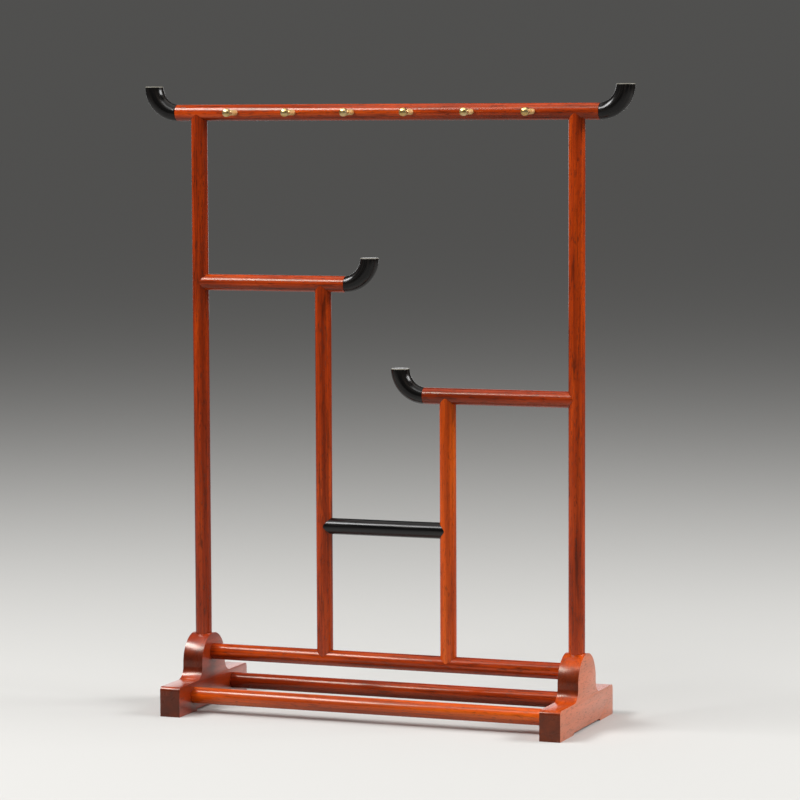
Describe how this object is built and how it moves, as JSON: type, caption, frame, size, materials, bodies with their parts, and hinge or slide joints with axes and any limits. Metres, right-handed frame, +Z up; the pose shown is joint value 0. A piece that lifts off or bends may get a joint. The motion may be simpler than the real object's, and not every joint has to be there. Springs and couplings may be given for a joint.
{
  "type": "brush rack",
  "caption": "Free-standing rack of round rosewood rods on humped feet, with stepped rails, upturned black horn ends and turned brass pins on its top bar for hanging brushes.",
  "frame": {"origin": "on the ground, midway between the two feet and midway between their front and rear ends", "axes": "+X along the top bar, to the right as seen from the front; +Y from the front to the rear; +Z up"},
  "size_m": [0.379, 0.123, 0.4605],
  "materials": {
    "rosewood": "lacquered red rosewood, glossy, with dark streaks along each rod",
    "black_horn": "polished black horn",
    "brass": "polished, turned"
  },
  "bodies": {
    "root": {"left_foot": "rosewood", "right_foot": "rosewood", "front_stretcher": "rosewood", "rear_stretcher": "rosewood", "middle_stretcher": "rosewood", "left_post": "rosewood", "right_post": "rosewood", "top_bar": "rosewood", "upper_rail": "rosewood", "left_inner_post": "rosewood", "lower_rail": "rosewood", "right_inner_post": "rosewood", "top_left_horn_dowel": "rosewood", "top_right_horn_dowel": "rosewood", "upper_rail_horn_dowel": "rosewood", "lower_rail_horn_dowel": "rosewood", "top_left_horn": "black_horn", "top_right_horn": "black_horn", "upper_rail_horn": "black_horn", "lower_rail_horn": "black_horn", "tie_bar": "black_horn", "front_pin_1": "brass", "front_pin_2": "brass", "front_pin_3": "brass", "front_pin_4": "brass", "front_pin_5": "brass", "front_pin_6": "brass", "rear_pin_1": "brass", "rear_pin_2": "brass", "rear_pin_3": "brass", "rear_pin_4": "brass", "rear_pin_5": "brass", "rear_pin_6": "brass"}
  },
  "joints": []
}
